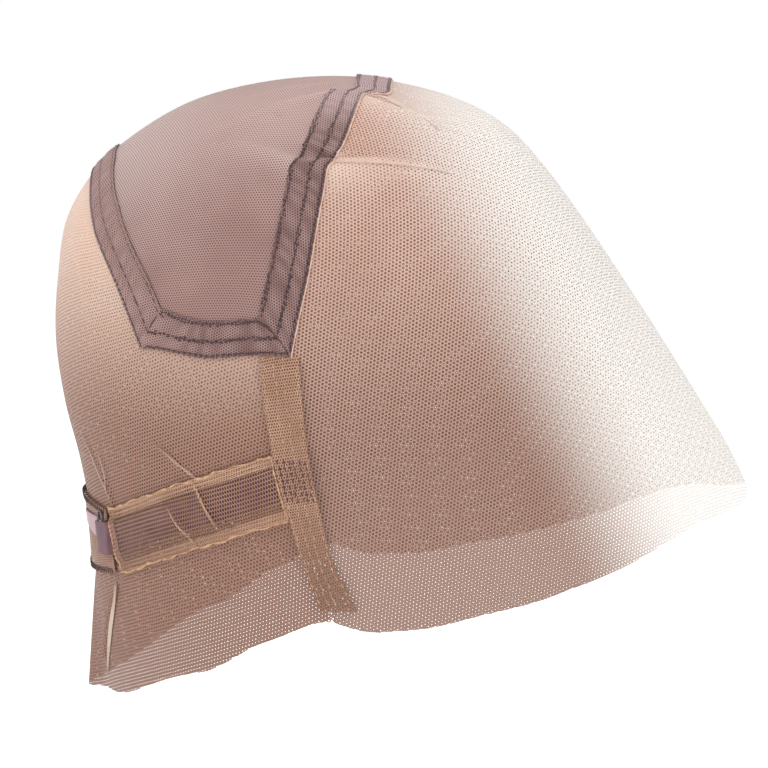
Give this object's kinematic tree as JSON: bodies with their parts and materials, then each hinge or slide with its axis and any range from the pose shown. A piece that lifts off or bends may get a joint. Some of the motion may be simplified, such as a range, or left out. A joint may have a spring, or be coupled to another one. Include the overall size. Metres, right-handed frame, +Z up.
{
  "type": "lace wig cap",
  "caption": "Lace wig cap: sheer net front and back sheets, a stretch mesh crown with a stitched hem, taped ear seams, and elastic straps in lace channels that close at the nape.",
  "frame": {"origin": "top of the crown on the inside of the cap, where the wearer's head carries it", "axes": "+X to the wearer's face, +Y to the wearer's left, +Z up; the cap is symmetric about the XZ plane"},
  "size_m": [0.243, 0.1634, 0.2155],
  "materials": {
    "lace": "sheer tan hexagon net, matt",
    "doubled_lace": "the same net doubled, golden tan",
    "crown_mesh": "fine dusty mauve stretch mesh",
    "crown_border": "the crown mesh turned and stitched, darker mauve",
    "elastic": "ribbed mauve elastic",
    "patch_mesh": "taupe mesh with overlocked edges",
    "satin_ribbon": "lilac satin ribbon",
    "dark_loop": "dark plum, glossy"
  },
  "bodies": {
    "root": {"front_lace": "lace", "back_lace": "lace", "crown_panel": "crown_mesh", "crown_hem": "crown_border", "ear_tape_right": "doubled_lace", "ear_tape_left": "doubled_lace", "strap_casing_right": "doubled_lace", "strap_casing_left": "doubled_lace", "strap_right": "elastic", "strap_left": "elastic", "nape_patch": "patch_mesh", "nape_tab_right": "satin_ribbon", "nape_tab_left": "satin_ribbon", "strap_hook_right": "dark_loop", "strap_hook_left": "dark_loop"}
  },
  "joints": []
}
